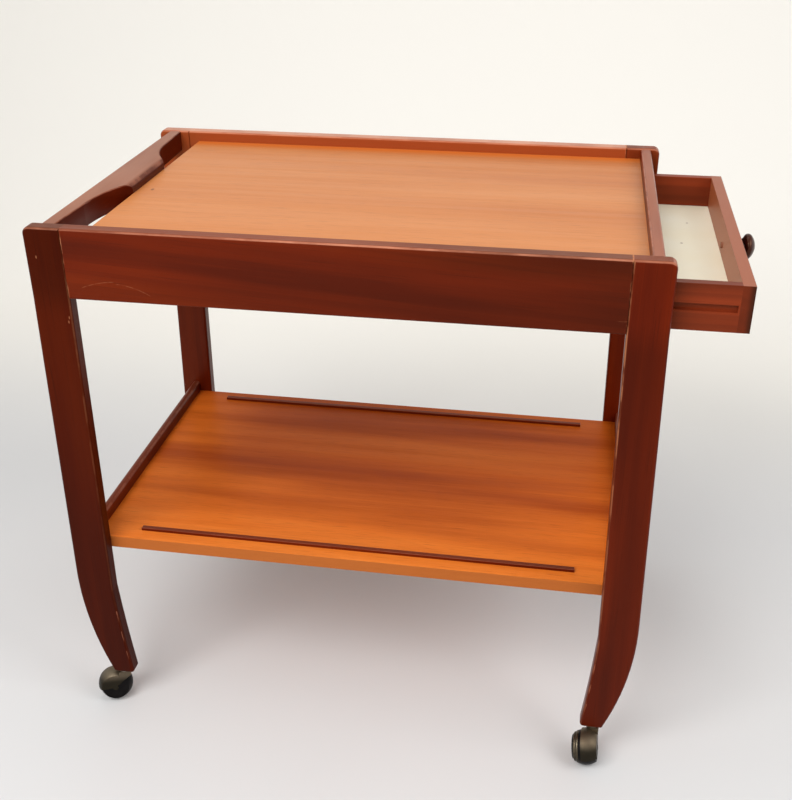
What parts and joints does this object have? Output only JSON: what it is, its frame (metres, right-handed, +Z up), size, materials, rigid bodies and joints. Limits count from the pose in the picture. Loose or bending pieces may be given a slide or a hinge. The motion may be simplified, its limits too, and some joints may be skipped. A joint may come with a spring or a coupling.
{
  "type": "tea trolley",
  "caption": "Wooden tea trolley with sabre legs on ball casters, a galleried top with finger holes in its handle board, an end drawer and a lower shelf.",
  "frame": {"origin": "centre of the trolley's bounding box on the floor, with the drawer standing open as at rest", "axes": "+Z up; +X along the trolley towards the drawer's knob; +Y towards the back, so the long side with the front legs faces -Y"},
  "size_m": [0.8836, 0.5422, 0.74],
  "materials": {
    "dark_hardwood": "satin, dark red-brown stain",
    "teak_veneer": "satin orange teak veneer, grain along X",
    "drawer_hardwood": "satin red-brown",
    "pale_hardwood": "unfinished",
    "cream_board": "cream painted hardboard",
    "knob_wood": "gloss, very dark brown",
    "steel": "dull plated",
    "bronze_finish": "worn bronze lacquer",
    "black_plastic": "gloss"
  },
  "bodies": {
    "trolley": {"leg_front_left": "dark_hardwood", "leg_front_right": "dark_hardwood", "leg_back_left": "dark_hardwood", "leg_back_right": "dark_hardwood", "long_rail_front": "dark_hardwood", "long_rail_back": "dark_hardwood", "handle_board": "dark_hardwood", "cross_rail": "dark_hardwood", "shelf_rail_left": "dark_hardwood", "shelf_rail_right": "dark_hardwood", "top_panel": "teak_veneer", "batten_front": "pale_hardwood", "batten_back": "pale_hardwood", "runner_front": "pale_hardwood", "runner_back": "pale_hardwood", "shelf_panel": "teak_veneer", "gallery_strip_front": "dark_hardwood", "gallery_strip_back": "dark_hardwood", "leg_dowels": "pale_hardwood", "board_dowels": "pale_hardwood", "shelf_rail_dowels": "pale_hardwood", "shelf_dowels": "pale_hardwood", "batten_screws": "steel", "panel_screws": "steel", "runner_screws": "steel", "caster_socket_front_left": "steel", "caster_socket_front_right": "steel", "caster_socket_back_left": "steel", "caster_socket_back_right": "steel"},
    "drawer": {"drawer_front": "drawer_hardwood", "drawer_side_front": "drawer_hardwood", "drawer_side_back": "drawer_hardwood", "drawer_back": "drawer_hardwood", "drawer_bottom": "cream_board", "drawer_knob": "knob_wood", "knob_screw": "steel", "drawer_dowels": "pale_hardwood"},
    "swivel_front_left": {"caster_hood_front_left": "bronze_finish", "caster_stem_front_left": "steel", "caster_axle_front_left": "steel"},
    "wheel_front_left": {"caster_wheel_front_left": "black_plastic", "caster_rim_front_left": "bronze_finish"},
    "swivel_front_right": {"caster_hood_front_right": "bronze_finish", "caster_stem_front_right": "steel", "caster_axle_front_right": "steel"},
    "wheel_front_right": {"caster_wheel_front_right": "black_plastic", "caster_rim_front_right": "bronze_finish"},
    "swivel_back_left": {"caster_hood_back_left": "bronze_finish", "caster_stem_back_left": "steel", "caster_axle_back_left": "steel"},
    "wheel_back_left": {"caster_wheel_back_left": "black_plastic", "caster_rim_back_left": "bronze_finish"},
    "swivel_back_right": {"caster_hood_back_right": "bronze_finish", "caster_stem_back_right": "steel", "caster_axle_back_right": "steel"},
    "wheel_back_right": {"caster_wheel_back_right": "black_plastic", "caster_rim_back_right": "bronze_finish"}
  },
  "joints": [
    {"name": "drawer_slide", "type": "slide", "parent": "trolley", "child": "drawer", "axis": [1, 0, 0], "range_m": [-0.102, 0.18]},
    {"name": "caster_swivel_front_left", "type": "hinge", "parent": "trolley", "child": "swivel_front_left", "pos_m": [-0.39675, -0.23, 0.055], "axis": [0, 0, 1], "continuous": true},
    {"name": "wheel_spin_front_left", "type": "hinge", "parent": "swivel_front_left", "child": "wheel_front_left", "pos_m": [-0.41383, -0.22954, 0.024], "axis": [0.3216, -0.9339, 0.1564], "continuous": true},
    {"name": "caster_swivel_front_right", "type": "hinge", "parent": "trolley", "child": "swivel_front_right", "pos_m": [0.28925, -0.23, 0.055], "axis": [0, 0, 1], "continuous": true},
    {"name": "wheel_spin_front_right", "type": "hinge", "parent": "swivel_front_right", "child": "wheel_front_right", "pos_m": [0.28215, -0.24554, 0.024], "axis": [0.9853, -0.0689, 0.1564], "continuous": true},
    {"name": "caster_swivel_back_left", "type": "hinge", "parent": "trolley", "child": "swivel_back_left", "pos_m": [-0.39675, 0.23, 0.055], "axis": [0, 0, 1], "continuous": true},
    {"name": "wheel_spin_back_left", "type": "hinge", "parent": "swivel_back_left", "child": "wheel_back_left", "pos_m": [-0.40515, 0.24488, 0.024], "axis": [-0.6349, -0.7566, 0.1564], "continuous": true},
    {"name": "caster_swivel_back_right", "type": "hinge", "parent": "trolley", "child": "swivel_back_right", "pos_m": [0.28925, 0.23, 0.055], "axis": [0, 0, 1], "continuous": true},
    {"name": "wheel_spin_back_right", "type": "hinge", "parent": "swivel_back_right", "child": "wheel_back_right", "pos_m": [0.29794, 0.24471, 0.024], "axis": [-0.9727, 0.1715, 0.1564], "continuous": true}
  ]
}
